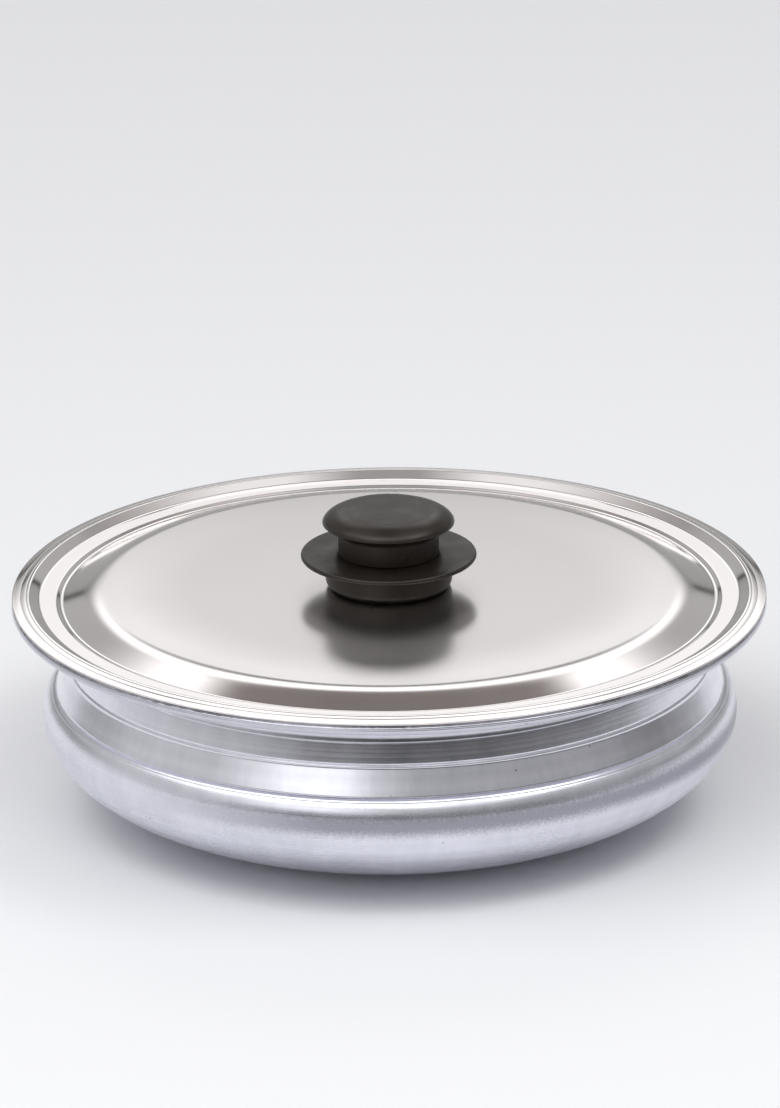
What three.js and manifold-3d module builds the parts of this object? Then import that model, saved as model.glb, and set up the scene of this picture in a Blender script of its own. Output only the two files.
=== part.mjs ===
// Uruli: a round-bellied aluminium cooking pot with a pressed steel lid and a screwed-on lid knob.
// Millimetres, +Z up. The origin is the centre of the pot's flat base, where it stands.

import * as THREE from "three";
import { mergeVertices } from "three/addons/utils/BufferGeometryUtils.js";
import Module from "manifold-3d";

const wasm = await Module();
wasm.setup();

// Pot
const potWall = 2.4;
const baseFlatRadius = 50;
const bellyBulge = 5.2; // of the widest circle, past the foot of the neck
const bellyHeight = 37.2; // of the widest circle
const bellyShoulderRadius = 13; // in section, from the widest circle up to the neck
const neckBottomRadius = 123.6;
const neckWaistRadius = 119.4; // at the upper turned bead, above which the neck stands steeper
const neckTopRadius = 114.8;
const lowerBeadRadius = 4; // of the low turned bead that ends the belly
const lowerBeadProud = 0.25;
const lowerBeadLand = 0.4; // plain belly between this bead and the neck
const upperBeadRadius = 0.8;
const upperBeadProud = 0.4;
const upperBeadRise = 10.4; // above the foot of the neck
const rimHeight = 81.4; // top of the rolled rim
const rimRadius = 140.2;
const rimBeadRadius = 2;
const rimFlareAngle = THREE.MathUtils.degToRad(7); // the rim's flange climbs outwards
const rimThroatRadius = 7; // in section, where the neck turns out into the flange

// Lid
const lidGauge = 0.8;
const lidInset = 0.3; // lid edge short of the rolled rim's
const lidFlangeFall = 1.3; // the lid's outer flange slopes down to its edge
const lidStepClearance = 2.6; // from the rolled rim in to the lid's step
const lidStepWidth = 3.7;
const lidRingWidth = 6.4;
const lidChannelWidth = 2;
const lidChannelDepth = 1.05;
const lidShoulderWidth = 13;
const lidShoulderRise = 4.6;
const lidCrownRise = 1;
const lidBendRadius = 1.2; // of the sharp bends
const lidShoulderBendRadius = 16;
const lidSeatGap = 0.3; // lid flange above the rolled rim
const lidRingGap = 0.4; // lid ring above the pot's flange

// Knob
const footRadius = 23.5;
const footHeight = 11;
const footEdgeRadius = 3.2;
const footWall = 5;
const footBossRadius = 7;
const footRecessDepth = 6.5;
const guardRadius = 32.6;
const guardThickness = 1.8;
const guardEdgeRadius = 0.7;
const gripNeckRadius = 18.7;
const gripNeckHeight = 9.4; // the finger gap between guard and cap
const capRadius = 24.5;
const capLipHeight = 2.4; // from the underside of the cap to its widest circle
const capCrownHeight = 5.2; // from the widest circle to the top
const capFlatRadius = 15;
const capDishDepth = 0.4; // the top falls this much from its centre to the rounded edge

// Fastening
const screwRadius = 2.5;
const screwTipChamfer = 0.6;
const screwHeadRadius = 4.8;
const screwHeadHeight = 3;
const screwHeadEdgeRadius = 1.6;
const screwRecessWidth = 1.3;
const screwRecessLength = 5.2;
const screwRecessDepth = 1.6;
const screwEngagement = 8; // length of screw inside the insert
const insertRadius = 4.5;
const insertLength = 12;
const insertGrooveWidth = 2.4;
const insertGrooveDepth = 0.6;
const washerRadius = 7.5;
const washerThickness = 1;
const springWasherRadius = 4.6;
const springWasherThickness = 1.2;
const springWasherSplit = 0.8;
const springWasherSplitAngle = THREE.MathUtils.degToRad(20);
const boreClearance = 0.3; // round the screw and round the insert
const threadClearance = 0.15; // between the screw and the insert's bore
const stackGap = 0.1; // between clamped faces

// Facets round the axis
const vesselSegments = 48;
const knobSegments = 36;
const fastenerSegments = 20;

const point = (r, z) => new THREE.Vector2(r, z);

// Points of a circular arc in the section plane, both ends included.
function arc(centre, radius, fromAngle, toAngle, steps) {
  const clockwise = toAngle < fromAngle;
  const curve = new THREE.EllipseCurve(centre.x, centre.y, radius, radius, fromAngle, toAngle, clockwise);
  return curve.getPoints(steps);
}

// Quarter of an ellipse, from straight below its centre out to its right-hand end.
function bowlArc(centre, radiusAcross, radiusDown, steps) {
  const curve = new THREE.EllipseCurve(centre.x, centre.y, radiusAcross, radiusDown, -Math.PI / 2, 0);
  return curve.getPoints(steps);
}

// The corner between two straight stretches, rounded to a radius that meets both without a break.
function fillet(before, corner, after, radius, steps) {
  const toBefore = before.clone().sub(corner).normalize();
  const toAfter = after.clone().sub(corner).normalize();
  const halfAngle = Math.acos(toBefore.dot(toAfter)) / 2;
  const setback = radius / Math.tan(halfAngle);
  const bisector = toBefore.clone().add(toAfter).normalize();
  const centre = corner.clone().addScaledVector(bisector, radius / Math.sin(halfAngle));
  const start = corner.clone().addScaledVector(toBefore, setback).sub(centre).angle();
  const end = corner.clone().addScaledVector(toAfter, setback).sub(centre).angle();
  const turn = Math.atan2(Math.sin(end - start), Math.cos(end - start));
  return arc(centre, radius, start, start + turn, steps);
}

// A section line moved sideways by a distance, to the left of the way it runs.
function offsetLine(points, distance) {
  const last = points.length - 1;
  const normals = points.slice(1).map((p, i) => {
    const along = p.clone().sub(points[i]).normalize();
    return point(-along.y, along.x);
  });
  return points.map((p, i) => {
    const before = normals[Math.max(i - 1, 0)];
    const after = normals[Math.min(i, last - 1)];
    const mitre = before.clone().add(after).normalize();
    return p.clone().addScaledVector(mitre, distance / mitre.dot(after));
  });
}

// A section that starts and ends on the axis, revolved. It runs anticlockwise with r across and z up.
function revolve(section, segments) {
  return new THREE.LatheGeometry(section, segments).rotateX(Math.PI / 2);
}

// A closed section clear of the axis, revolved into a ring.
function revolveRing(section, segments) {
  return revolve([...section, section[0]], segments);
}

function solidOf(geometry) {
  const bare = geometry.clone();
  bare.deleteAttribute("normal");
  bare.deleteAttribute("uv");
  const merged = mergeVertices(bare);
  const vertProperties = new Float32Array(merged.attributes.position.array);
  const triVerts = new Uint32Array(merged.index.array);
  return new wasm.Manifold(new wasm.Mesh({ numProp: 3, vertProperties, triVerts }));
}

function cut(geometry, tools) {
  const solid = tools.reduce((left, tool) => left.subtract(solidOf(tool)), solidOf(geometry));
  const { vertProperties, triVerts } = solid.getMesh();
  return new THREE.BufferGeometry()
    .setAttribute("position", new THREE.BufferAttribute(vertProperties, 3))
    .setIndex(new THREE.BufferAttribute(triVerts, 1));
}

// Pot: what its neck, flange and rolled rim share with the lid
const rimBeadCentre = point(rimRadius - rimBeadRadius, rimHeight - rimBeadRadius);
const flangeHalf = potWall / 2 / Math.cos(rimFlareAngle);
const flangeTopAt = (r) => rimBeadCentre.y - (rimBeadCentre.x - r) * Math.tan(rimFlareAngle) + flangeHalf;
const flangeUnderAt = (r) => flangeTopAt(r) - 2 * flangeHalf;
const bellyRadius = neckBottomRadius + bellyBulge;
const shoulderReach = Math.acos(1 - bellyBulge / bellyShoulderRadius);
const neckBottomHeight = bellyHeight + bellyShoulderRadius * Math.sin(shoulderReach);
const neckTopHeight = flangeUnderAt(neckTopRadius);

// A rounded bead turned on the outside wall, as the stretch that stands proud around a point of the wall.
function turnedBead(at, outwards, radius, proud) {
  const sunk = radius - proud;
  const reach = Math.acos(sunk / radius);
  const centre = point(at.x - sunk * Math.cos(outwards), at.y - sunk * Math.sin(outwards));
  return arc(centre, radius, outwards - reach, outwards + reach, 4);
}

function potBody() {
  const bowlCentre = point(baseFlatRadius, bellyHeight);
  const bowlWidth = bellyRadius - baseFlatRadius;
  const shoulderCentre = point(bellyRadius - bellyShoulderRadius, bellyHeight);
  const lowerBeadHalf = Math.sqrt(lowerBeadProud * (2 * lowerBeadRadius - lowerBeadProud));
  const lowerBeadAngle = shoulderReach - (lowerBeadHalf + lowerBeadLand) / bellyShoulderRadius;
  const lowerBeadStart = lowerBeadAngle - lowerBeadHalf / bellyShoulderRadius;
  const lowerBeadAt = point(bellyRadius, bellyHeight).rotateAround(shoulderCentre, lowerBeadAngle);
  const neckBottom = point(neckBottomRadius, neckBottomHeight);
  const neckTop = point(neckTopRadius, neckTopHeight);
  const neckWaist = point(neckWaistRadius, neckBottomHeight + upperBeadRise);
  const waistLean = neckTop.clone().sub(neckBottom).angle() - Math.PI / 2;
  const flangeEnd = rimBeadCentre.x;
  const rollStart = rimFlareAngle - Math.PI + Math.asin(potWall / 2 / rimBeadRadius);
  const rollEnd = 2 * rimFlareAngle - rollStart;
  const innerNeckTop = neckTopRadius - potWall;

  const outside = [
    point(0, 0),
    ...bowlArc(bowlCentre, bowlWidth, bellyHeight, 9),
    ...arc(shoulderCentre, bellyShoulderRadius, 0, lowerBeadStart, 3).slice(1),
    ...turnedBead(lowerBeadAt, lowerBeadAngle, lowerBeadRadius, lowerBeadProud),
    neckBottom,
    ...turnedBead(neckWaist, waistLean, upperBeadRadius, upperBeadProud),
    ...fillet(neckWaist, neckTop, point(flangeEnd, flangeUnderAt(flangeEnd)), rimThroatRadius, 4),
  ];
  const rolledRim = arc(rimBeadCentre, rimBeadRadius, rollStart, rollEnd, 9);
  const inside = [
    ...fillet(
      point(flangeEnd, flangeTopAt(flangeEnd)),
      point(innerNeckTop, flangeTopAt(innerNeckTop)),
      point(neckWaistRadius - potWall, neckWaist.y),
      rimThroatRadius - potWall,
      4,
    ),
    point(neckWaistRadius - potWall, neckWaist.y),
    ...arc(shoulderCentre, bellyShoulderRadius - potWall, shoulderReach, 0, 3),
    ...bowlArc(bowlCentre, bowlWidth - potWall, bellyHeight - potWall, 8).reverse().slice(1),
    point(0, potWall),
  ];
  return revolve([...outside, ...rolledRim, ...inside], vesselSegments);
}

// Lid: levels are above the lid's outer edge, which the rolled rim carries
const lidRadius = rimRadius - lidInset;
const lidStepRadius = rimRadius - 2 * rimBeadRadius - lidStepClearance;
const lidRingRadius = lidStepRadius - lidStepWidth;
const lidChannelRadius = lidRingRadius - lidRingWidth;
const lidShoulderRadius = lidChannelRadius - lidChannelWidth;
const lidPlateauRadius = lidShoulderRadius - lidShoulderWidth;
const lidFlangeSlope = lidFlangeFall / (lidRadius - lidStepRadius);
const lidFlangeRise = lidFlangeSlope * (lidRadius - rimBeadCentre.x);
const lidOverBead = (rimBeadRadius + lidSeatGap + lidGauge) * Math.hypot(1, lidFlangeSlope);
const lidEdgeHeight = rimBeadCentre.y + lidOverBead - lidFlangeRise;
const lidRingFloor = Math.max(flangeTopAt(lidRingRadius), flangeTopAt(lidChannelRadius) + lidChannelDepth);
const lidRingLevel = lidRingFloor + lidRingGap + lidGauge - lidEdgeHeight;
const lidChannelLevel = lidRingLevel - lidChannelDepth;
const lidPlateauLevel = lidChannelLevel + lidShoulderRise;
const knobSeatLevel = lidPlateauLevel + lidCrownRise;
const screwBoreRadius = screwRadius + boreClearance;

function lidPlate() {
  const edge = point(lidRadius, 0);
  const step = point(lidStepRadius, lidFlangeFall);
  const ring = point(lidRingRadius, lidRingLevel);
  const channelLip = point(lidChannelRadius, lidRingLevel);
  const channel = point(lidShoulderRadius, lidChannelLevel);
  const plateau = point(lidPlateauRadius, lidPlateauLevel);
  const seat = point(footRadius, knobSeatLevel);
  const top = [
    edge,
    ...fillet(edge, step, ring, lidBendRadius, 2),
    ...fillet(step, ring, channelLip, lidBendRadius + lidGauge, 2),
    ...fillet(ring, channelLip, channel, lidBendRadius, 2),
    ...fillet(channelLip, channel, plateau, lidBendRadius + lidGauge, 2),
    ...fillet(channel, plateau, seat, lidShoulderBendRadius, 5),
    seat,
    point(screwBoreRadius, knobSeatLevel),
  ];
  const underside = offsetLine(top, lidGauge).reverse();
  return revolveRing([...top, ...underside], vesselSegments);
}

// Knob: each piece stands on its own z = 0
function knobFoot() {
  const rimInside = footRadius - footWall;
  const lowerEdge = point(footRadius, 0);
  const upperEdge = point(footRadius, footHeight);
  const section = [
    point(screwBoreRadius, 0),
    point(footBossRadius, 0),
    point(footBossRadius, footRecessDepth),
    point(rimInside, footRecessDepth),
    point(rimInside, 0),
    ...fillet(point(rimInside, 0), lowerEdge, upperEdge, footEdgeRadius, 4),
    ...fillet(lowerEdge, upperEdge, point(screwBoreRadius, footHeight), footEdgeRadius / 2, 3),
    point(screwBoreRadius, footHeight),
  ];
  return revolveRing(section, knobSegments);
}

function heatGuard() {
  const lowerEdge = point(guardRadius, 0);
  const upperEdge = point(guardRadius, guardThickness);
  const section = [
    point(screwBoreRadius, 0),
    ...fillet(point(screwBoreRadius, 0), lowerEdge, upperEdge, guardEdgeRadius, 2),
    ...fillet(lowerEdge, upperEdge, point(screwBoreRadius, guardThickness), guardEdgeRadius, 2),
    point(screwBoreRadius, guardThickness),
  ];
  return revolveRing(section, knobSegments);
}

function knobGrip() {
  const socketRadius = insertRadius + boreClearance;
  const socketDepth = insertLength + boreClearance;
  const capWidest = gripNeckHeight + capLipHeight;
  const capTop = capWidest + capCrownHeight;
  const capEdgeTop = capTop - capDishDepth;
  const lip = point(capRadius, capWidest);
  const crown = new THREE.CubicBezierCurve(
    lip,
    point(capRadius, (capWidest + capEdgeTop) / 2),
    point((capRadius + capFlatRadius) / 2, capEdgeTop),
    point(capFlatRadius, capEdgeTop),
  );
  const section = [
    point(0, socketDepth),
    point(socketRadius, socketDepth),
    point(socketRadius, 0),
    point(gripNeckRadius, 0),
    ...fillet(point(gripNeckRadius, 0), point(gripNeckRadius, gripNeckHeight), lip, capLipHeight, 3),
    ...crown.getPoints(7),
    point(0, capTop),
  ];
  return revolve(section, knobSegments);
}

function threadedInsert() {
  const bore = screwRadius + threadClearance;
  const waist = insertRadius - insertGrooveDepth;
  const grooveBottom = (insertLength - insertGrooveWidth) / 2;
  const grooveTop = grooveBottom + insertGrooveWidth;
  const section = [
    point(bore, 0),
    point(insertRadius, 0),
    point(insertRadius, grooveBottom),
    point(waist, grooveBottom),
    point(waist, grooveTop),
    point(insertRadius, grooveTop),
    point(insertRadius, insertLength),
    point(bore, insertLength),
  ];
  return revolveRing(section, fastenerSegments);
}

function washer(radius, thickness) {
  const section = [
    point(screwBoreRadius, 0),
    point(radius, 0),
    point(radius, thickness),
    point(screwBoreRadius, thickness),
  ];
  return revolveRing(section, fastenerSegments);
}

function springWasher() {
  const split = new THREE.BoxGeometry(2 * springWasherRadius, springWasherSplit, 4 * springWasherThickness)
    .rotateX(springWasherSplitAngle)
    .translate(springWasherRadius, 0, springWasherThickness / 2);
  return cut(washer(springWasherRadius, springWasherThickness), [split]);
}

function knobScrew(length) {
  const headEdge = point(screwHeadRadius, 0);
  const headSeat = point(screwHeadRadius, screwHeadHeight);
  const tip = screwHeadHeight + length;
  const blank = revolve(
    [
      point(0, 0),
      ...fillet(point(0, 0), headEdge, headSeat, screwHeadEdgeRadius, 4),
      headSeat,
      point(screwRadius, screwHeadHeight),
      point(screwRadius, tip - screwTipChamfer),
      point(screwRadius - screwTipChamfer, tip),
      point(0, tip),
    ],
    fastenerSegments,
  );
  const slot = new THREE.BoxGeometry(screwRecessLength, screwRecessWidth, 2 * screwRecessDepth);
  return cut(blank, [slot, slot.clone().rotateZ(Math.PI / 2)]);
}

const aluminium = { color: 0xb9bcc6, metalness: 1, roughness: 0.38 };
const polishedSteel = { color: 0xd9d6d4, metalness: 1, roughness: 0.12 };
const bakelite = { color: 0x1b1817, metalness: 0, roughness: 0.42 };
const brass = { color: 0xb58d3d, metalness: 1, roughness: 0.4 };
const zincPlate = { color: 0xa9abad, metalness: 1, roughness: 0.35 };

function piece(name, finish, geometry, height) {
  const mesh = new THREE.Mesh(geometry, new THREE.MeshStandardMaterial(finish));
  mesh.name = name;
  mesh.position.z = height;
  return mesh;
}

// Clamped stack: heights are above the knob's seat on the lid
const footHeightAt = stackGap;
const guardHeightAt = footHeightAt + footHeight + stackGap;
const gripHeightAt = guardHeightAt + guardThickness + stackGap;
const washerHeightAt = -lidGauge - stackGap - washerThickness;
const springWasherHeightAt = washerHeightAt - stackGap - springWasherThickness;
const screwSeatHeightAt = springWasherHeightAt - stackGap;
const screwLength = gripHeightAt + screwEngagement - screwSeatHeightAt;

const knob = new THREE.Group();
knob.position.z = knobSeatLevel;
knob.add(
  piece("knob_foot", bakelite, knobFoot(), footHeightAt),
  piece("heat_guard", bakelite, heatGuard(), guardHeightAt),
  piece("knob_grip", bakelite, knobGrip(), gripHeightAt),
  piece("threaded_insert", brass, threadedInsert(), gripHeightAt),
  piece("flat_washer", zincPlate, washer(washerRadius, washerThickness), washerHeightAt),
  piece("spring_washer", zincPlate, springWasher(), springWasherHeightAt),
  piece("knob_screw", zincPlate, knobScrew(screwLength), screwSeatHeightAt - screwHeadHeight),
);

const lid = new THREE.Group();
lid.position.z = lidEdgeHeight;
lid.add(piece("lid_plate", polishedSteel, lidPlate(), 0), knob);

const uruli = new THREE.Group();
uruli.add(piece("pot_body", aluminium, potBody(), 0), lid);

export default uruli;
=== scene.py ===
import math

import bmesh
import bpy
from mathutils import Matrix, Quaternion, Vector


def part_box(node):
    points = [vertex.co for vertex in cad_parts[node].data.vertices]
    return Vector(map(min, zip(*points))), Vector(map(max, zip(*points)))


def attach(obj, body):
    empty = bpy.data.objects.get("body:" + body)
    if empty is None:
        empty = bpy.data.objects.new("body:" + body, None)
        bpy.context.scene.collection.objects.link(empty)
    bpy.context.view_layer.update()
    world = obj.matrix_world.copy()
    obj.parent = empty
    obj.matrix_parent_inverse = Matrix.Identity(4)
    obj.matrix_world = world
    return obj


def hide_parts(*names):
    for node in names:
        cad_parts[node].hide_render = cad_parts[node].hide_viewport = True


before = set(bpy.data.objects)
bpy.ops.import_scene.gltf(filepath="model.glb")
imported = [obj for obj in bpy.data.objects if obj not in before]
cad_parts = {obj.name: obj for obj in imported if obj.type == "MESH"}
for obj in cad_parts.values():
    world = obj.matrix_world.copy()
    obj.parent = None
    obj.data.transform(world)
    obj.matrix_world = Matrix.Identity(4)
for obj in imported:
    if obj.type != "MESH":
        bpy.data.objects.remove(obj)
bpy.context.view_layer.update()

mm = 0.001
scene = bpy.context.scene
scene.view_settings.view_transform = "Standard"


# Section drawing: every piece is turned, so its shape is a line of (radius, height) points

def arcPoints(centre, radius, startAngle, endAngle, steps):
    points = []
    for i in range(steps + 1):
        angle = startAngle + (endAngle - startAngle) * i / steps
        points.append(Vector((centre[0] + radius * math.cos(angle), centre[1] + radius * math.sin(angle))))
    return points


def bowlPoints(centre, across, down, steps):
    points = []
    for i in range(steps + 1):
        angle = -math.pi / 2 + math.pi / 2 * i / steps
        points.append(Vector((centre[0] + across * math.cos(angle), centre[1] + down * math.sin(angle))))
    return points


def roundCorner(before, corner, after, radius, steps):
    toBefore = (before - corner).normalized()
    toAfter = (after - corner).normalized()
    half = math.acos(max(-1, min(1, toBefore.dot(toAfter)))) / 2
    setback = radius / math.tan(half)
    centre = corner + (toBefore + toAfter).normalized() * (radius / math.sin(half))
    first = corner + toBefore * setback - centre
    last = corner + toAfter * setback - centre
    start = math.atan2(first.y, first.x)
    turn = math.atan2(first.x * last.y - first.y * last.x, first.dot(last))
    return arcPoints(centre, radius, start, start + turn, steps)


def roundedLine(corners, steps=8):
    # corners are (radius, height, bend); the two ends keep their points
    spots = [Vector(corner[:2]) for corner in corners]
    points = [spots[0]]
    for i in range(1, len(spots) - 1):
        if corners[i][2] > 0:
            points += roundCorner(spots[i - 1], spots[i], spots[i + 1], corners[i][2], steps)
        else:
            points.append(spots[i])
    return points + [spots[-1]]


def offsetLine(points, distance):
    # to the left of the way the line runs
    normals = []
    for a, b in zip(points, points[1:]):
        along = (b - a).normalized()
        normals.append(Vector((-along.y, along.x)))
    moved = []
    for i, p in enumerate(points):
        before = normals[max(i - 1, 0)]
        after = normals[min(i, len(normals) - 1)]
        mitre = (before + after).normalized()
        moved.append(p + mitre * (distance / mitre.dot(after)))
    return moved


def refine(points, longest):
    # long straight stretches get points between, so that waves and shading stay smooth
    finer = [points[0]]
    for a, b in zip(points, points[1:]):
        parts = max(1, math.ceil((b - a).length / longest))
        finer += [a.lerp(b, k / parts) for k in range(1, parts + 1)]
    return finer


def refineEnds(points, shortest, longest):
    # straight stretches get close points beside the bends, so that a mirror stays flat right up to them
    finer = [points[0]]
    for a, b in zip(points, points[1:]):
        length = (b - a).length
        places, place, pace = {length}, shortest, shortest
        while place < length / 2:
            places.update((place, length - place))
            pace = min(pace * 2, longest)
            place += pace
        finer += [a.lerp(b, v / length) for v in sorted(places)]
    return finer


# Geometry Nodes: a section line turned about the upright axis

def link(tree, output, target):
    tree.links.new(output, target)


def mathNode(tree, operation, *values):
    node = tree.nodes.new("ShaderNodeMath")
    node.operation = operation
    for socket, value in zip(node.inputs, values):
        if isinstance(value, (int, float)):
            socket.default_value = value
        else:
            link(tree, value, socket)
    return node.outputs[0]


def makeTurningTree():
    tree = bpy.data.node_groups.new("turnedPiece", "GeometryNodeTree")
    face = tree.interface
    face.new_socket("Section", in_out="INPUT", socket_type="NodeSocketGeometry")
    face.new_socket("Sides", in_out="INPUT", socket_type="NodeSocketInt")
    face.new_socket("Wave Height", in_out="INPUT", socket_type="NodeSocketFloat")
    face.new_socket("Wave Density", in_out="INPUT", socket_type="NodeSocketFloat")
    face.new_socket("Finish", in_out="INPUT", socket_type="NodeSocketMaterial")
    face.new_socket("Turned", in_out="OUTPUT", socket_type="NodeSocketGeometry")
    nodes = tree.nodes
    given = nodes.new("NodeGroupInput").outputs

    count = nodes.new("GeometryNodeAttributeDomainSize")
    link(tree, given["Section"], count.inputs[0])
    perLine = count.outputs["Point Count"]
    grid = nodes.new("GeometryNodeMeshGrid")
    link(tree, mathNode(tree, "ADD", given["Sides"], 1), grid.inputs["Vertices X"])
    link(tree, perLine, grid.inputs["Vertices Y"])

    index = nodes.new("GeometryNodeInputIndex").outputs[0]
    column = mathNode(tree, "FLOOR", mathNode(tree, "DIVIDE", mathNode(tree, "ADD", index, 0.25), perLine))
    row = mathNode(tree, "SUBTRACT", index, mathNode(tree, "MULTIPLY", column, perLine))
    angle = mathNode(tree, "MULTIPLY", mathNode(tree, "DIVIDE", column, given["Sides"]), 2 * math.pi)

    sample = nodes.new("GeometryNodeSampleIndex")
    sample.data_type = "FLOAT_VECTOR"
    link(tree, given["Section"], sample.inputs["Geometry"])
    link(tree, nodes.new("GeometryNodeInputPosition").outputs[0], sample.inputs["Value"])
    link(tree, row, sample.inputs["Index"])
    spot = nodes.new("ShaderNodeSeparateXYZ")
    link(tree, sample.outputs[0], spot.inputs[0])
    place = nodes.new("ShaderNodeCombineXYZ")
    link(tree, mathNode(tree, "MULTIPLY", spot.outputs[0], mathNode(tree, "COSINE", angle)), place.inputs[0])
    link(tree, mathNode(tree, "MULTIPLY", spot.outputs[0], mathNode(tree, "SINE", angle)), place.inputs[1])
    link(tree, spot.outputs[2], place.inputs[2])
    turn = nodes.new("GeometryNodeSetPosition")
    link(tree, grid.outputs["Mesh"], turn.inputs["Geometry"])
    link(tree, place.outputs[0], turn.inputs["Position"])
    close = nodes.new("GeometryNodeMergeByDistance")
    close.inputs["Distance"].default_value = 0.002 * mm
    link(tree, turn.outputs[0], close.inputs["Geometry"])

    # slow unevenness of hand-finished metal, along the surface's own normal
    wave = nodes.new("ShaderNodeTexNoise")
    wave.inputs["Detail"].default_value = 1.0
    link(tree, given["Wave Density"], wave.inputs["Scale"])
    height = mathNode(tree, "MULTIPLY", mathNode(tree, "SUBTRACT", wave.outputs[0], 0.5), given["Wave Height"])
    push = nodes.new("ShaderNodeVectorMath")
    push.operation = "SCALE"
    link(tree, nodes.new("GeometryNodeInputNormal").outputs[0], push.inputs[0])
    link(tree, height, push.inputs["Scale"])
    uneven = nodes.new("GeometryNodeSetPosition")
    link(tree, close.outputs[0], uneven.inputs["Geometry"])
    link(tree, push.outputs[0], uneven.inputs["Offset"])

    smooth = nodes.new("GeometryNodeSetShadeSmooth")
    link(tree, uneven.outputs[0], smooth.inputs["Geometry"])
    whole = nodes.new("GeometryNodeRealizeInstances")
    link(tree, smooth.outputs[0], whole.inputs[0])
    finish = nodes.new("GeometryNodeSetMaterial")
    link(tree, whole.outputs[0], finish.inputs["Geometry"])
    link(tree, given["Finish"], finish.inputs["Material"])
    link(tree, finish.outputs[0], nodes.new("NodeGroupOutput").inputs[0])
    return tree


turningTree = makeTurningTree()


def turnPiece(name, section, finish, sides, waveHeight=0.0, waveDensity=20.0):
    line = bpy.data.meshes.new(name + "Section")
    line.from_pydata([(p.x, 0, p.y) for p in section], [(i, i + 1) for i in range(len(section) - 1)], [])
    piece = bpy.data.objects.new(name, line)
    scene.collection.objects.link(piece)
    modifier = piece.modifiers.new("turn", "NODES")
    modifier.node_group = turningTree
    values = {"Sides": sides, "Wave Height": waveHeight, "Wave Density": waveDensity, "Finish": finish}
    for socket in turningTree.interface.items_tree:
        if socket.name in values:
            modifier[socket.identifier] = values[socket.name]
    made = bpy.data.meshes.new_from_object(piece.evaluated_get(bpy.context.evaluated_depsgraph_get()))
    piece.modifiers.clear()
    piece.data = made
    made.name = name
    bpy.data.meshes.remove(line)
    body = bmesh.new()
    body.from_mesh(made)
    bmesh.ops.recalc_face_normals(body, faces=body.faces)
    body.to_mesh(made)
    body.free()
    if not made.materials:
        made.materials.append(finish)
    return piece


def seat(piece, body, slot, *nodes):
    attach(piece, body)
    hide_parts(*nodes)


# Finishes

def newFinish(name):
    finish = bpy.data.materials.new(name)
    finish.use_nodes = True
    tree = finish.node_tree
    return finish, tree, tree.nodes["Principled BSDF"]


def addNode(tree, kind, inputs=(), **settings):
    node = tree.nodes.new(kind)
    for key, value in settings.items():
        setattr(node, key, value)
    for key, value in dict(inputs).items():
        if isinstance(value, bpy.types.NodeSocket):
            link(tree, value, node.inputs[key])
        else:
            node.inputs[key].default_value = value
    return node


def ramp(tree, value, *stops):
    # stops are (position, grey or colour)
    node = addNode(tree, "ShaderNodeValToRGB", {"Fac": value})
    elements = node.color_ramp.elements
    while len(elements) < len(stops):
        elements.new(1.0)
    for element, (position, tone) in zip(elements, stops):
        element.position = position
        element.color = (tone, tone, tone, 1) if isinstance(tone, (int, float)) else (*tone, 1)
    return node.outputs["Color"]


def mapRange(tree, value, low, high, toLow, toHigh):
    inputs = {"Value": value, "From Min": low, "From Max": high, "To Min": toLow, "To Max": toHigh}
    return addNode(tree, "ShaderNodeMapRange", inputs).outputs[0]


def softStep(tree, value, low, high):
    inputs = {"Value": value, "From Min": low, "From Max": high}
    return addNode(tree, "ShaderNodeMapRange", inputs, interpolation_type="SMOOTHSTEP").outputs[0]


def turningCoords(tree):
    # (distance from the axis, height, 0): noise on it makes rings, as a lathe tool leaves them
    spot = addNode(tree, "ShaderNodeTexCoord").outputs["Object"]
    apart = addNode(tree, "ShaderNodeSeparateXYZ", {0: spot}).outputs
    reach = mathNode(tree, "SQRT", mathNode(
        tree, "ADD", mathNode(tree, "MULTIPLY", apart[0], apart[0]), mathNode(tree, "MULTIPLY", apart[1], apart[1])))
    rings = addNode(tree, "ShaderNodeCombineXYZ", {0: reach, 1: apart[2]}).outputs[0]
    return spot, rings, reach, apart[2]


def noiseOf(tree, coords, scale, detail=2.0, roughness=0.5):
    inputs = {"Vector": coords, "Scale": scale, "Detail": detail, "Roughness": roughness}
    return addNode(tree, "ShaderNodeTexNoise", inputs).outputs[0]


def bumpOf(tree, height, strength, distance, normal=None):
    inputs = {"Height": height, "Strength": strength, "Distance": distance}
    if normal is not None:
        inputs["Normal"] = normal
    return addNode(tree, "ShaderNodeBump", inputs).outputs[0]


def mixColour(tree, factor, first, second):
    node = addNode(tree, "ShaderNodeMix", data_type="RGBA")
    for key, value in {0: factor, 6: first, 7: second}.items():
        if isinstance(value, bpy.types.NodeSocket):
            link(tree, value, node.inputs[key])
        else:
            node.inputs[key].default_value = (*value, 1) if key else value
    return node.outputs[2]


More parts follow.
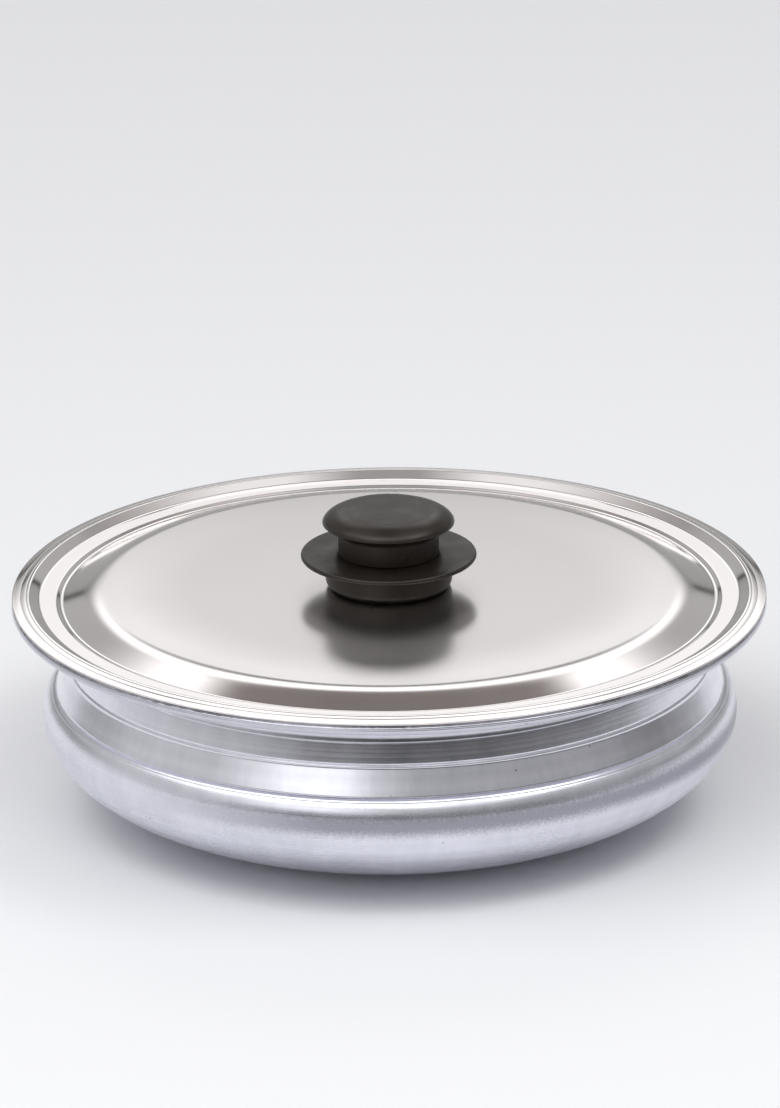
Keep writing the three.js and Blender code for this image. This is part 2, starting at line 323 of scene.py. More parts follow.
satin = {
    "light": (0.865, 0.87, 0.94),
    "dark": (0.715, 0.72, 0.79),
    # the dark of the painted reflection on the belly and of the painted shade under the rim, also laid on the rim
    "darkReflectionAndShade": (0.30, 0.30, 0.35),
    # the dark of the painted gap shade under the lid's edge, also given to the pits
    "gapShade": (0.13, 0.13, 0.14),
    "roughNeck": 0.17,  # the neck is polished brighter than the belly
    "roughBelly": 0.29,
    "roughSpread": 0.12,
    "polishHeights": (44 * mm, 48 * mm),
    "anisotropy": 0.15,
    "ringScale": 1700.0,  # noise scales, per metre
    "broadScale": 160.0,
    "cloudScale": 14.0,
    "grainScale": 900.0,
    "mottleScale": 1300.0,
    "streakScale": 16.0,
    "pitScale": 260.0,
    "patchScale": 26.0,
    "raggedScale": 330.0,
    "ringDepth": 0.03 * mm,
    "grainDepth": 0.05 * mm,
    "mottleLow": 33 * mm,  # the band of the belly where a dark reflection is painted, broken up by the metal's fine mottle
    "mottleHigh": 43.5 * mm,
    "mottleBlur": 1 * mm,
    "mottleFadeIn": (-1.5 * mm, 4 * mm),
    "mottleFadeOut": 5 * mm,
    "mottleDepth": 0.05 * mm,
    "darkAcross": (-95 * mm, -25 * mm),  # from left to right the painted dark reflection and shade grow stronger
    "darkShare": (0.15, 0.92),
    # painted shade under the rim, at the top of the neck
    "underRim": (61 * mm, 69 * mm),
    "underShare": 0.42,
    "rimReach": (134 * mm, 137 * mm),
    "rimShare": 0.40,
    "pitLottery": 0.93,
    "gapShadeHeight": 80.6 * mm,  # painted shade of the gap under the lid's edge, a dark line along the top of the rim
    "gapShadeFade": 0.15 * mm,
    "raggedHeight": 0.25 * mm,
}


def satinAluminium():
    finish, tree, shader = newFinish("turnedAluminium")
    spot, rings, reach, height = turningCoords(tree)
    fine = noiseOf(tree, rings, satin["ringScale"], 1.0)
    broad = noiseOf(tree, rings, satin["broadScale"], 2.0)
    cloud = noiseOf(tree, spot, satin["cloudScale"], 4.0, 0.6)
    grain = noiseOf(tree, spot, satin["grainScale"], 3.0, 0.7)
    mottle = noiseOf(tree, spot, satin["mottleScale"], 3.0, 0.6)

    # how much painted dark goes on: a painted reflection on the belly's band and painted shade under the rim, growing
    # to the right, and a darker tone on the rim
    lower, upper = satin["mottleLow"], satin["mottleHigh"]
    fadeIn = [lower + v for v in satin["mottleFadeIn"]]
    blur = mapRange(tree, mottle, 0.3, 0.7, -satin["mottleBlur"], satin["mottleBlur"])
    blurred = mathNode(tree, "ADD", height, blur)
    band = mathNode(tree, "MULTIPLY", softStep(tree, blurred, *fadeIn),
                    softStep(tree, blurred, upper, upper - satin["mottleFadeOut"]))
    apart = addNode(tree, "ShaderNodeSeparateXYZ", {0: spot}).outputs
    darkerRightward = mapRange(tree, apart[0], *satin["darkAcross"], *satin["darkShare"])
    under = mathNode(tree, "MULTIPLY", softStep(tree, height, *satin["underRim"]), satin["underShare"])
    paintedDark = mathNode(tree, "MULTIPLY", mathNode(tree, "MAXIMUM", band, under), darkerRightward)
    onRim = mathNode(tree, "MULTIPLY", softStep(tree, reach, *satin["rimReach"]), satin["rimShare"])

    # upright streaks, clouds and rings in the polish
    around = addNode(tree, "ShaderNodeCombineXYZ", {
        0: mathNode(tree, "DIVIDE", apart[0], reach),
        1: mathNode(tree, "DIVIDE", apart[1], reach),
        2: mathNode(tree, "MULTIPLY", height, 3.0),
    }).outputs[0]
    streak = noiseOf(tree, around, satin["streakScale"], 3.0, 0.65)
    tone = mathNode(tree, "ADD", mathNode(tree, "MULTIPLY", broad, 0.4), mathNode(tree, "MULTIPLY", cloud, 0.25))
    tone = mathNode(tree, "ADD", tone, mathNode(tree, "MULTIPLY", streak, 0.35))
    shade = mapRange(tree, tone, 0.37, 0.63, 0.0, 1.0)
    polished = mixColour(tree, shade, satin["dark"], satin["light"])
    # the painted dark reflection and shade are mixed into the polish
    mixed = mixColour(tree, mathNode(tree, "MAXIMUM", paintedDark, onRim), polished, satin["darkReflectionAndShade"])

    # dark pits, and painted shade of the gap under the lid's edge, with a ragged edge
    pits = addNode(tree, "ShaderNodeTexVoronoi", {"Vector": spot, "Scale": satin["pitScale"]})
    lottery = addNode(tree, "ShaderNodeSeparateXYZ", {0: pits.outputs["Color"]}).outputs[0]
    chosen = mathNode(tree, "GREATER_THAN", lottery, satin["pitLottery"])
    pit = mathNode(tree, "MULTIPLY", chosen, mapRange(tree, pits.outputs["Distance"], 0.05, 0.13, 0.75, 0.0))
    jag = noiseOf(tree, spot, satin["raggedScale"], 3.0, 0.7)
    jag = mapRange(tree, jag, 0.3, 0.7, -satin["raggedHeight"], satin["raggedHeight"])
    ragged = mathNode(tree, "ADD", height, jag)
    gapShadeHeight, fade = satin["gapShadeHeight"], satin["gapShadeFade"]
    gapShade = softStep(tree, ragged, gapShadeHeight - fade, gapShadeHeight + fade)
    patchy = mapRange(tree, noiseOf(tree, spot, satin["patchScale"], 2.0), 0.40, 0.58, 0.25, 0.90)
    # the pits and the painted shade of the lid's gap darken the colour
    pitsAndGapShade = mathNode(tree, "MAXIMUM", pit, mathNode(tree, "MULTIPLY", gapShade, patchy))
    link(tree, mixColour(tree, pitsAndGapShade, mixed, satin["gapShade"]), shader.inputs["Base Color"])

    worn = mathNode(tree, "ADD", mathNode(tree, "MULTIPLY", cloud, 0.6), mathNode(tree, "MULTIPLY", fine, 0.4))
    polish = mapRange(tree, height, *satin["polishHeights"], satin["roughBelly"], satin["roughNeck"])
    spread = mapRange(tree, worn, 0.35, 0.65, -0.5 * satin["roughSpread"], 0.5 * satin["roughSpread"])
    link(tree, mathNode(tree, "ADD", polish, spread), shader.inputs["Roughness"])
    normal = bumpOf(tree, fine, 0.35, satin["ringDepth"])
    normal = bumpOf(tree, grain, 0.12, satin["grainDepth"], normal)
    normal = bumpOf(tree, mathNode(tree, "MULTIPLY", mottle, band), 0.8, satin["mottleDepth"], normal)
    link(tree, normal, shader.inputs["Normal"])
    tangent = addNode(tree, "ShaderNodeTangent", direction_type="RADIAL", axis="Z")
    link(tree, tangent.outputs[0], shader.inputs["Tangent"])
    shader.inputs["Metallic"].default_value = 1.0
    shader.inputs["Anisotropic"].default_value = satin["anisotropy"]
    return finish


mirror = {
    "light": (0.845, 0.81, 0.80),
    "dark": (0.80, 0.765, 0.755),
    "roughTop": 0.20,  # round the knob, buffed in circles; the pressed edge keeps the sheet's mirror
    "roughPlateau": 0.13,
    "roughEdge": 0.055,
    "topTo": 74 * mm,
    "plateauFrom": 98 * mm,
    "plateauTo": 111 * mm,
    "mirrorFrom": 114 * mm,
    "hairScale": 2600.0,
    "hairBump": 0.05,
    "hairDepth": 0.006 * mm,
    "smearScale": 22.0,
}


def mirrorSteel():
    finish, tree, shader = newFinish("polishedSteel")
    spot, rings, reach = turningCoords(tree)[:3]
    hair = noiseOf(tree, rings, mirror["hairScale"], 1.0)
    smear = noiseOf(tree, spot, mirror["smearScale"], 3.0, 0.55)
    link(tree, mixColour(tree, smear, mirror["dark"], mirror["light"]), shader.inputs["Base Color"])
    buffed = mapRange(tree, reach, mirror["topTo"], mirror["plateauFrom"],
                      mirror["roughTop"], mirror["roughPlateau"])
    polish = mapRange(tree, reach, mirror["plateauTo"], mirror["mirrorFrom"], buffed, mirror["roughEdge"])
    worn = mathNode(tree, "ADD", mathNode(tree, "MULTIPLY", smear, 0.05), mathNode(tree, "MULTIPLY", hair, 0.03))
    link(tree, mathNode(tree, "ADD", polish, worn), shader.inputs["Roughness"])
    link(tree, bumpOf(tree, hair, mirror["hairBump"], mirror["hairDepth"]), shader.inputs["Normal"])
    shader.inputs["Metallic"].default_value = 1.0
    return finish


bakelite = {
    "deep": (0.0085, 0.0065, 0.005),
    "dusty": (0.022, 0.017, 0.013),
    "roughLow": 0.25,
    "roughHigh": 0.40,
    "sheen": (1.0, 0.91, 0.87),
    "specular": 0.38,
    "cloudScale": 60.0,
    "grainScale": 1500.0,
    "grainBump": 0.06,
    "grainDepth": 0.04 * mm,
}


def blackBakelite():
    finish, tree, shader = newFinish("blackBakelite")
    spot = turningCoords(tree)[0]
    cloud = noiseOf(tree, spot, bakelite["cloudScale"], 4.0, 0.6)
    grain = noiseOf(tree, spot, bakelite["grainScale"], 2.0, 0.6)
    link(tree, mixColour(tree, cloud, bakelite["deep"], bakelite["dusty"]), shader.inputs["Base Color"])
    rough = mapRange(tree, cloud, 0.35, 0.65, bakelite["roughLow"], bakelite["roughHigh"])
    link(tree, rough, shader.inputs["Roughness"])
    link(tree, bumpOf(tree, grain, bakelite["grainBump"], bakelite["grainDepth"]), shader.inputs["Normal"])
    shader.inputs["Specular IOR Level"].default_value = bakelite["specular"]
    shader.inputs["Specular Tint"].default_value = (*bakelite["sheen"], 1)
    return finish


fastener = {"cloudScale": 220.0, "toolScale": 4200.0, "toolDepth": 0.02 * mm}


def platedMetal(name, light, dark, roughLow, roughHigh):
    finish, tree, shader = newFinish(name)
    spot, rings = turningCoords(tree)[:2]
    cloud = noiseOf(tree, spot, fastener["cloudScale"], 3.0, 0.6)
    tool = noiseOf(tree, rings, fastener["toolScale"], 1.0)
    link(tree, mixColour(tree, cloud, dark, light), shader.inputs["Base Color"])
    link(tree, mapRange(tree, cloud, 0.35, 0.65, roughLow, roughHigh), shader.inputs["Roughness"])
    link(tree, bumpOf(tree, tool, 0.2, fastener["toolDepth"]), shader.inputs["Normal"])
    shader.inputs["Metallic"].default_value = 1.0
    return finish


potFinish = satinAluminium()
lidFinish = mirrorSteel()
knobFinish = blackBakelite()
zincFinish = platedMetal("zincPlate", (0.66, 0.67, 0.68), (0.50, 0.51, 0.53), 0.28, 0.42)
brassFinish = platedMetal("turnedBrass", (0.76, 0.58, 0.27), (0.60, 0.44, 0.18), 0.30, 0.45)
print("finishes made")


# Pot

pot = {
    "wall": 2.4 * mm,
    "baseFlat": 50 * mm,
    "bellyRadius": 128.8 * mm,
    "bellyHeight": 37.2 * mm,
    "shoulderSweep": 18 * mm,  # the gentle shoulder, which turns tighter below the neck's foot
    "shoulderTurn": math.radians(19),
    "neckFoot": 124.0 * mm,
    "footHeight": 47.6 * mm,
    "neckWaist": 119.4 * mm,
    "waistRise": 10.4 * mm,
    "neckHead": 114.8 * mm,
    "rimRoll": 2 * mm,
    "flare": math.radians(7),
    "throatBend": 7 * mm,
    # rounded beads: (distance up the wall from the neck's foot, half width, proud)
    "beads": [
        (-1.2 * mm, 1.0 * mm, 0.08 * mm),
        (11.2 * mm, 0.55 * mm, 0.14 * mm),
    ],
    # scribed lines: (distance up the wall from the neck's foot, half width, depth)
    "scribes": [
        (-2.35 * mm, 0.15 * mm, 0.06 * mm),
        (-0.1 * mm, 0.16 * mm, 0.12 * mm),
        (12.0 * mm, 0.18 * mm, 0.18 * mm),
        (20.2 * mm, 0.16 * mm, 0.05 * mm),
    ],
    # fine lines round the rolled rim: (angle up from level, half angle, depth)
    "rimLines": [
        (math.radians(47), math.radians(13), 0.34 * mm),
        (math.radians(10), math.radians(6), 0.12 * mm),
        (math.radians(-22), math.radians(6), 0.12 * mm),
    ],
    "sides": 288,
    "bowlSteps": (40, 30),  # outside and inside
    "throatSteps": (12, 10),
    "rollSteps": 8,
    "sweepSteps": 6,
    "rimSteps": 72,
    "beadSteps": 8,
    "scribeSteps": 5,
    "legSteps": 16,
    "closest": 0.02 * mm,  # distances between the section's points
    "longest": 6 * mm,
    "waveHeight": 0.14 * mm,
    "waveDensity": 17.0,
}


def bump(offset, half):
    return math.cos(math.pi / 2 * offset / half) ** 2 if abs(offset) < half else 0


def crown(offset, half, proud):
    # round top of a bead: part of the circle through its two edges and its crest
    if abs(offset) >= half:
        return 0
    bend = (half * half + proud * proud) / (2 * proud)
    return math.sqrt(bend * bend - offset * offset) - bend + proud


def linedWall(legs):
    # legs are (function of distance giving point and outward normal, start, end), one after the other up the wall
    points = []
    for spotAt, start, end in legs:
        places = {start, end}
        for lines, steps in [(pot["beads"], pot["beadSteps"]), (pot["scribes"], pot["scribeSteps"])]:
            for centre, half, _ in lines:
                places.update(centre + half * k / steps for k in range(-steps, steps + 1))
        places.update(start + (end - start) * k / pot["legSteps"] for k in range(pot["legSteps"] + 1))
        for place in sorted(v for v in places if start <= v <= end):
            spot, out = spotAt(place)
            height = sum(crown(place - c, half, proud) for c, half, proud in pot["beads"])
            height -= sum(depth * bump(place - c, half) for c, half, depth in pot["scribes"])
            spot = spot + out * height
            if not points or (spot - points[-1]).length > pot["closest"]:
                points.append(spot)
    return points


def rolledRim(centre, radius, start, end, lines, steps):
    points = []
    for i in range(steps + 1):
        angle = start + (end - start) * i / steps
        depth = sum(d * bump(angle - a, half) for a, half, d in lines)
        points.append(centre + Vector((math.cos(angle), math.sin(angle))) * (radius - depth))
    return points


def potSection():
    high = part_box("pot_body")[1]
    slack = pot["waveHeight"] / 2  # keeps the uneven surface inside the true size
    rimCentre = Vector((high.x - slack - pot["rimRoll"], high.z - pot["rimRoll"]))
    half = pot["wall"] / 2 / math.cos(pot["flare"])

    def flangeAt(r, side):
        return Vector((r, rimCentre.y - (rimCentre.x - r) * math.tan(pot["flare"]) + side * half))

    # centres of the bowl's ellipse, of the gentle shoulder and of the tight roll above it
    bowl = Vector((pot["baseFlat"], pot["bellyHeight"]))
    across = pot["bellyRadius"] - pot["baseFlat"]
    sweep, turn = pot["shoulderSweep"], pot["shoulderTurn"]
    shoulder = Vector((pot["bellyRadius"] - sweep, pot["bellyHeight"]))
    brink = shoulder + sweep * Vector((math.cos(turn), math.sin(turn)))
    foot = Vector((pot["neckFoot"], pot["footHeight"]))
    chord = foot - brink
    reach = 2 * math.atan2(-chord.x, chord.y) - turn
    tight = chord.length / 2 / math.sin((reach - turn) / 2)
    tightLength = tight * (reach - turn)
    roll = brink - tight * Vector((math.cos(turn), math.sin(turn)))
    waist = Vector((pot["neckWaist"], foot.y + pot["waistRise"]))
    head = flangeAt(pot["neckHead"], -1)
    throatSteps, innerThroatSteps = pot["throatSteps"]
    bowlSteps, innerBowlSteps = pot["bowlSteps"]
    throat = roundCorner(waist, head, flangeAt(rimCentre.x, -1), pot["throatBend"], throatSteps)
    inner = Vector((pot["wall"], 0))
    innerHead = flangeAt(pot["neckHead"] - pot["wall"], 1)
    sink = math.asin(pot["wall"] / 2 / pot["rimRoll"])

    def onShoulder(place):
        onRoll = place > -tightLength
        angle = reach + place / tight if onRoll else turn + (place + tightLength) / sweep
        out = Vector((math.cos(angle), math.sin(angle)))
        return (roll + out * tight if onRoll else shoulder + out * sweep), out

    def onLine(a, b, start):
        along = (b - a).normalized()
        return lambda place: (a + along * (place - start), Vector((along.y, -along.x)))

    waistAt = (waist - foot).length
    throatAt = waistAt + (throat[0] - waist).length
    outside = [Vector((0, slack))]
    outside += bowlPoints(bowl, across, pot["bellyHeight"] - slack, bowlSteps)[:-1]
    outside += linedWall([
        (onShoulder, -tightLength - sweep * turn, 0),
        (onLine(foot, waist, 0), 0, waistAt),
        (onLine(waist, head, waistAt), waistAt, throatAt),
    ])
    outside += throat[1:]
    rim = rolledRim(rimCentre, pot["rimRoll"], pot["flare"] - math.pi + sink, pot["flare"] + math.pi - sink,
                    pot["rimLines"], pot["rimSteps"])
    wall = pot["wall"]
    inside = roundCorner(flangeAt(rimCentre.x, 1), innerHead, waist - inner, pot["throatBend"] - wall, innerThroatSteps)
    inside.append(waist - inner)
    inside += arcPoints(roll, tight - wall, reach, turn, pot["rollSteps"])
    inside += arcPoints(shoulder, sweep - wall, turn, 0, pot["sweepSteps"])[1:]
    inside += list(reversed(bowlPoints(bowl, across - wall, pot["bellyHeight"] - wall, innerBowlSteps)))[1:]
    inside.append(Vector((0, wall)))
    return refine(outside + rim + inside, pot["longest"])


potPiece = turnPiece("potBody", potSection(), potFinish, pot["sides"], pot["waveHeight"], pot["waveDensity"])
seat(potPiece, "pot", "pot_aluminium", "pot_body")
print("pot turned:", len(potPiece.data.polygons), "faces")


# Lid

lid = {
    "gauge": 0.8 * mm,
    "flange": 6.3 * mm,  # widths, from the edge in
    "step": 3.7 * mm,
    "ring": 6.4 * mm,
    "channel": 2 * mm,
    "shoulder": 13 * mm,
    "edgeDrop": 3.39 * mm,  # depths below the knob's seat
    "stepDrop": 2.09 * mm,
    "ringDrop": 4.55 * mm,
    "channelDrop": 5.60 * mm,
    "plateauDrop": 1 * mm,
    "bend": 1.2 * mm,
    "shoulderBend": 22 * mm,
    "noseShare": 0.25,  # how far the rounded edge stands out, in gauges
    "bendSteps": 10,
    "crownSteps": 20,
    "scribeSteps": 3,
    # lines scribed round the flange: (distance in from the edge, half width, depth)
    "scribes": [
        (5.2 * mm, 0.16 * mm, 0.05 * mm),
        (3.1 * mm, 0.14 * mm, 0.03 * mm),
    ],
    "flangeBend": 0.6 * mm,  # the scribed part of the flange ends this far from the step
    "bore": 2.8 * mm,
    "seat": 23.5 * mm,
    "sides": 288,
    "shortest": 0.2 * mm,  # distances between the section's points
    "longest": 3 * mm,
    "longestUnder": 6 * mm,
    "waveHeight": 0.02 * mm,
    "waveDensity": 26.0,
}


def lidSection():
    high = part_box("lid_plate")[1]
    top = high.z
    edge = high.x
    step = edge - lid["flange"]
    ring = step - lid["step"]
    lip = ring - lid["ring"]
    channel = lip - lid["channel"]
    plateau = channel - lid["shoulder"]
    sharp, wide = lid["bend"], lid["bend"] + lid["gauge"]
    crownLine = []
    for i in range(lid["crownSteps"] + 1):
        t = 1 - i / lid["crownSteps"]
        crownLine.append(Vector((lid["seat"] + (plateau - lid["seat"]) * t, top - lid["plateauDrop"] * t * t)))
    flat = crownLine[2:] + [Vector((lid["bore"], top))]
    pressed = roundedLine([
        (edge, top - lid["edgeDrop"], 0),
        (step, top - lid["stepDrop"], sharp),
        (ring, top - lid["ringDrop"], wide),
        (lip, top - lid["ringDrop"], sharp),
        (channel, top - lid["channelDrop"], wide),
        (plateau, top - lid["plateauDrop"], lid["shoulderBend"]),
        (*crownLine[1], 0),
    ], lid["bendSteps"])
    under = list(reversed(offsetLine(refine(pressed + flat, lid["longestUnder"]), lid["gauge"])))
    face = refineEnds(pressed, lid["shortest"], lid["longest"]) + flat
    scribedTo = step + lid["flangeBend"]
    flange = [p for p in face if p.x > scribedTo]
    flangeEnd = Vector((step, top - lid["stepDrop"]))
    steps = lid["scribeSteps"]
    for distance, half, _ in lid["scribes"]:
        flange += [face[0].lerp(flangeEnd, (distance + half * k / steps) / lid["flange"])
                   for k in range(-steps, steps + 1)]
    face = sorted(flange, key=lambda p: -p.x) + [p for p in face if p.x <= scribedTo]
    for p in face:
        p.y -= sum(depth * bump(edge - distance - p.x, half) for distance, half, depth in lid["scribes"])
    nose = face[0].lerp(under[-1], 0.5) + Vector((lid["noseShare"] * lid["gauge"], 0))
    nose.x = min(nose.x, edge)
    return face + under + [nose, face[0]]


lidPiece = turnPiece("lidPlate", lidSection(), lidFinish, lid["sides"], lid["waveHeight"], lid["waveDensity"])
seat(lidPiece, "lid", "lid_steel", "lid_plate")
print("lid pressed:", len(lidPiece.data.polygons), "faces")


# Knob

knob = {
    "bore": 2.8 * mm,
    "footWall": 5 * mm,
    "footBoss": 7 * mm,
    "footRecess": 6.5 * mm,
    "footEdge": 3.2 * mm,
    "bossEdge": 0.5 * mm,
    "recessBend": 0.8 * mm,
    "recessEdge": 0.4 * mm,
    "guardEdge": 0.85 * mm,
    "neck": 18.7 * mm,
    "neckHeight": 9.4 * mm,
    "lipHeight": 2.4 * mm,
    "capFlat": 15 * mm,
    "capDish": 0.4 * mm,
    "neckEdge": 0.5 * mm,
    "socket": 4.8 * mm,
    "socketDepth": 12.3 * mm,
    "socketEdge": 0.3 * mm,
    "capSteps": 24,
    "longest": 3 * mm,
    "sides": 128,
}


def footSection():
    low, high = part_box("knob_foot")
    inside = high.x - knob["footWall"]
    roof = low.z + knob["footRecess"]
    return roundedLine([
        (knob["bore"], low.z, 0),
        (knob["footBoss"], low.z, knob["bossEdge"]),
        (knob["footBoss"], roof, knob["recessBend"]),
        (inside, roof, knob["recessBend"]),
        (inside, low.z, knob["recessEdge"]),
        (high.x, low.z, knob["footEdge"]),
        (high.x, high.z, knob["footEdge"] / 2),
        (knob["bore"], high.z, 0),
        (knob["bore"], low.z, 0),
    ])


def guardSection():
    low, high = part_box("heat_guard")
    return roundedLine([
        (knob["bore"], low.z, 0),
        (high.x, low.z, knob["guardEdge"]),
        (high.x, high.z, knob["guardEdge"]),
        (knob["bore"], high.z, 0),
        (knob["bore"], low.z, 0),
    ])


def gripSection():
    low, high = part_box("knob_grip")
    underside = low.z + knob["neckHeight"]
    widest = underside + knob["lipHeight"]
    edgeTop = high.z - knob["capDish"]
    deep = low.z + knob["socketDepth"]
    lower = roundedLine([
        (0, deep, 0),
        (knob["socket"], deep, 0),
        (knob["socket"], low.z, knob["socketEdge"]),
        (knob["neck"], low.z, knob["neckEdge"]),
        (knob["neck"], underside, knob["lipHeight"]),
        (high.x, widest, 0),
    ])
    # the cap's round edge is a cubic curve from its widest point to its dished top
    a, b = Vector((high.x, widest)), Vector((high.x, (widest + edgeTop) / 2))
    c, d = Vector(((high.x + knob["capFlat"]) / 2, edgeTop)), Vector((knob["capFlat"], edgeTop))
    cap = []
    for i in range(1, knob["capSteps"] + 1):
        t = i / knob["capSteps"]
        cap.append(a * (1 - t) ** 3 + b * 3 * t * (1 - t) ** 2 + c * 3 * t * t * (1 - t) + d * t ** 3)
    return refine(lower + cap + [Vector((0, high.z))], knob["longest"])


for name, section, node in [
    ("knobFoot", footSection(), "knob_foot"),
    ("heatGuard", guardSection(), "heat_guard"),
    ("knobGrip", gripSection(), "knob_grip"),
]:
    seat(turnPiece(name, section, knobFinish, knob["sides"]), "lid", "bakelite", node)
print("knob moulded")

# the fasteners keep their true shapes and only get their finishes
for node, finish in [
    ("threaded_insert", brassFinish),
    ("flat_washer", zincFinish),
    ("spring_washer", zincFinish),
    ("knob_screw", zincFinish),
]:
    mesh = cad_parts[node].data
    mesh.materials.clear()
    mesh.materials.append(finish)


# Studio

studio = {
    "floorTone": (0.845, 0.85, 0.87),
    "floorSize": 40.0,
    "floorRough": 0.9,
    "floorSpecular": 0.1,
    "aimHeight": 0.06,
    # soft boxes: (azimuth from +Y towards +X, elevation, distance, width, height, radiance)
    "boxes": [
        (-162, 59, 1.8, 1.6, 1.1, 1.8),
        (-100, 50, 2.0, 1.2, 0.9, 1.2),
        (112, 56, 1.8, 0.9, 0.6, 3.4),
    ],
    # world tone behind the object, by the sine of the elevation
    "backSky": [
        (0.0, 0.42), (0.226, 0.38), (0.234, 0.01), (0.254, 0.01), (0.262, 0.49), (0.55, 0.46),
        (0.78, (0.185, 0.158, 0.152)), (0.92, (0.185, 0.158, 0.152)), (0.98, 0.55),
    ],
    # the glow in it, a wide soft screen: tone, lower and upper edge, and half width low and high up
    "glow": 1.58,
    "glowLow": (0.270, 0.40),
    "glowHigh": (0.79, 0.72),
    "glowWidth": (0.20, 0.33),
    "glowEdge": (0.05, -0.07),
    "glowBehind": (0.1, 0.3),
    "gapTone": 0.12,  # of the dark gap across the middle of the glow
    "gapLow": (0.392, 0.435),
    "gapHigh": (0.58, 0.54),
    "gapWidth": (0.115, 0.09),
    # world tone in front and at the sides, from the left, 0, to the right, 1: near the ground, above and high up
    "lowSky": [(0.0, 0.58), (0.14, 0.42), (0.30, 0.16), (0.50, 0.06), (0.78, 0.10), (1.0, 0.20)],
    "midSky": [
        (0.0, 0.60), (0.08, 0.58), (0.16, 0.90), (0.24, 1.28),
        (0.36, 1.32), (0.46, 0.70), (0.58, 0.40), (1.0, 0.38),
    ],
    "highSky": [
        (0.0, 0.58), (0.16, 0.58), (0.25, 1.0), (0.38, 1.0), (0.46, 0.38),
        (0.54, 0.38), (0.62, 1.0), (0.75, 1.0), (0.85, 0.45), (1.0, 0.38),
    ],
    "lowToMid": (0.16, 0.32),  # by the sine of the elevation
    "midToHigh": (0.50, 0.66),
    "backToFront": (0.6, 0.2),
}


def makeFloor():
    half = studio["floorSize"] / 2
    mesh = bpy.data.meshes.new("floor")
    mesh.from_pydata([(-half, -half, 0), (half, -half, 0), (half, half, 0), (-half, half, 0)], [], [(0, 1, 2, 3)])
    floor = bpy.data.objects.new("floor", mesh)
    scene.collection.objects.link(floor)
    finish, _, shader = newFinish("paleFloor")
    shader.inputs["Base Color"].default_value = (*studio["floorTone"], 1)
    shader.inputs["Roughness"].default_value = studio["floorRough"]
    shader.inputs["Specular IOR Level"].default_value = studio["floorSpecular"]
    mesh.materials.append(finish)


def makeSoftBox(i, azimuth, elevation, distance, width, height, radiance):
    lamp = bpy.data.lights.new(f"softBox{i}", "AREA")
    lamp.shape = "RECTANGLE"
    lamp.size = width
    lamp.size_y = height
    lamp.energy = radiance * math.pi * width * height
    holder = bpy.data.objects.new(f"softBox{i}", lamp)
    a, e = math.radians(azimuth), math.radians(elevation)
    away = Vector((math.sin(a) * math.cos(e), math.cos(a) * math.cos(e), math.sin(e)))
    holder.location = Vector((0, 0, studio["aimHeight"])) + away * distance
    holder.rotation_mode = "QUATERNION"
    holder.rotation_quaternion = (-away).to_track_quat("-Z", "Y")
    scene.collection.objects.link(holder)


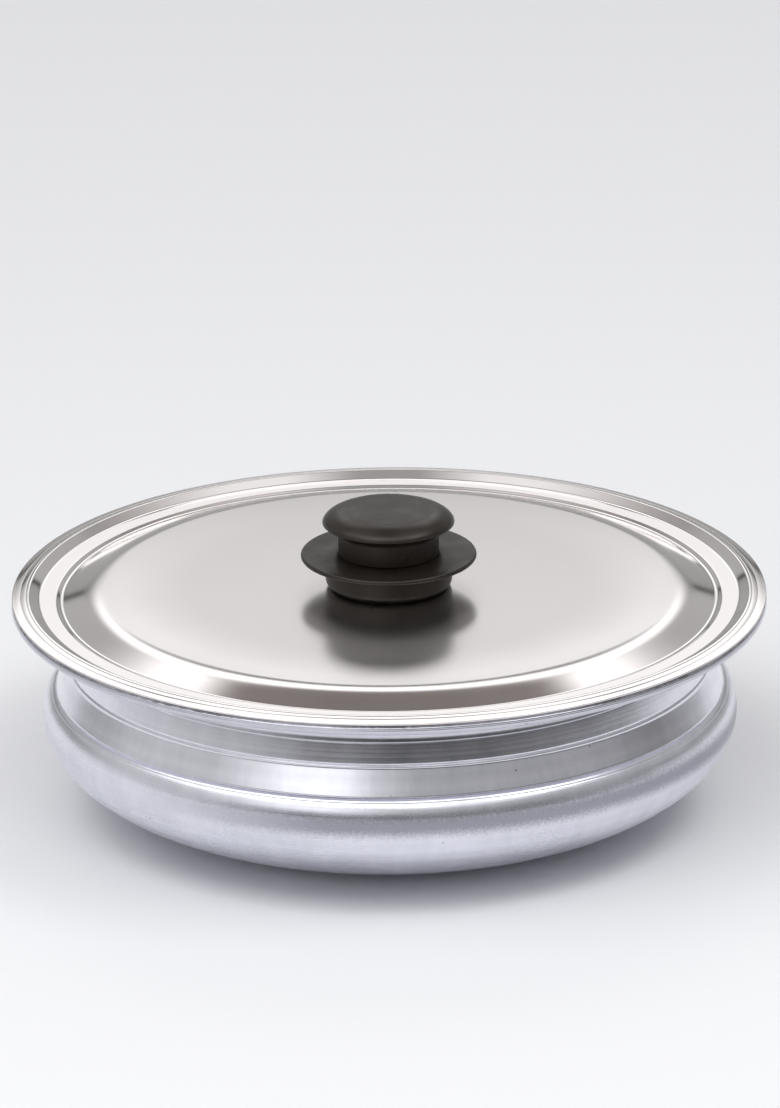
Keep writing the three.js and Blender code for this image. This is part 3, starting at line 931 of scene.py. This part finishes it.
def makeSky():
    world = bpy.data.worlds.new("studioSky")
    world.use_nodes = True
    tree = world.node_tree
    direction = addNode(tree, "ShaderNodeTexCoord").outputs["Generated"]
    apart = addNode(tree, "ShaderNodeSeparateXYZ", {0: direction}).outputs
    reach = mathNode(tree, "ABSOLUTE", apart[0])
    low, high = studio["glowLow"], studio["glowHigh"]
    width = mapRange(tree, apart[2], low[1], high[1], *studio["glowWidth"])
    past = mathNode(tree, "SUBTRACT", reach, width)
    inside = softStep(tree, past, *studio["glowEdge"])
    lit = mathNode(tree, "MULTIPLY", softStep(tree, apart[2], *low), softStep(tree, apart[2], *high))
    behind = mathNode(tree, "MULTIPLY", softStep(tree, apart[1], *studio["glowBehind"]), inside)
    glow = mathNode(tree, "MULTIPLY", lit, behind)
    back = mixColour(tree, glow, ramp(tree, apart[2], *studio["backSky"]), [studio["glow"]] * 3)
    gap = mathNode(tree, "MULTIPLY", softStep(tree, apart[2], *studio["gapLow"]),
                   softStep(tree, apart[2], *studio["gapHigh"]))
    gap = mathNode(tree, "MULTIPLY", gap, softStep(tree, reach, *studio["gapWidth"]))
    back = mixColour(tree, gap, back, [studio["gapTone"]] * 3)
    across = mapRange(tree, apart[0], -1.0, 1.0, 0.0, 1.0)
    lowSky, midSky, highSky = (ramp(tree, across, *studio[key]) for key in ("lowSky", "midSky", "highSky"))
    front = mixColour(tree, softStep(tree, apart[2], *studio["lowToMid"]), lowSky, midSky)
    front = mixColour(tree, softStep(tree, apart[2], *studio["midToHigh"]), front, highSky)
    toFront = mapRange(tree, apart[1], *studio["backToFront"], 0.0, 1.0)
    link(tree, mixColour(tree, toFront, back, front), tree.nodes["Background"].inputs["Color"])
    scene.world = world


makeFloor()
for i, box in enumerate(studio["boxes"]):
    makeSoftBox(i, *box)
makeSky()


# Camera, fitted to the photograph

view = {
    "frame": (780, 1108),
    "lidCentrePixel": (388.7, 593.5),
    "pixelsPerMetre": 2696.0,  # at the lid
    "elevation": math.radians(19.93),
    "roll": math.radians(0.51),
    "distance": 8.0,
    "sensor": 36.0,
    "clipEnd": 50.0,
}


def makeCamera():
    lidCentre = Vector((0, 0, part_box("lid_plate")[1].z - lid["edgeDrop"]))
    e = view["elevation"]
    back = Vector((0, -math.cos(e), math.sin(e)))
    right, up = Vector((1, 0, 0)), Vector((0, math.sin(e), math.cos(e)))
    wide, tall = view["frame"]
    aimRight = (wide / 2 - view["lidCentrePixel"][0]) / view["pixelsPerMetre"]
    aimUp = (view["lidCentrePixel"][1] - tall / 2) / view["pixelsPerMetre"]
    lens = bpy.data.cameras.new("camera")
    lens.sensor_width = view["sensor"]
    lens.lens = lens.sensor_width * view["pixelsPerMetre"] * view["distance"] / tall
    lens.clip_end = view["clipEnd"]
    camera = bpy.data.objects.new("camera", lens)
    camera.location = lidCentre + back * view["distance"]
    look = lidCentre + right * aimRight + up * aimUp - camera.location
    camera.rotation_mode = "QUATERNION"
    camera.rotation_quaternion = look.to_track_quat("-Z", "Y") @ Quaternion((0, 0, 1), -view["roll"])
    scene.collection.objects.link(camera)
    scene.camera = camera


makeCamera()
print("studio and camera set")
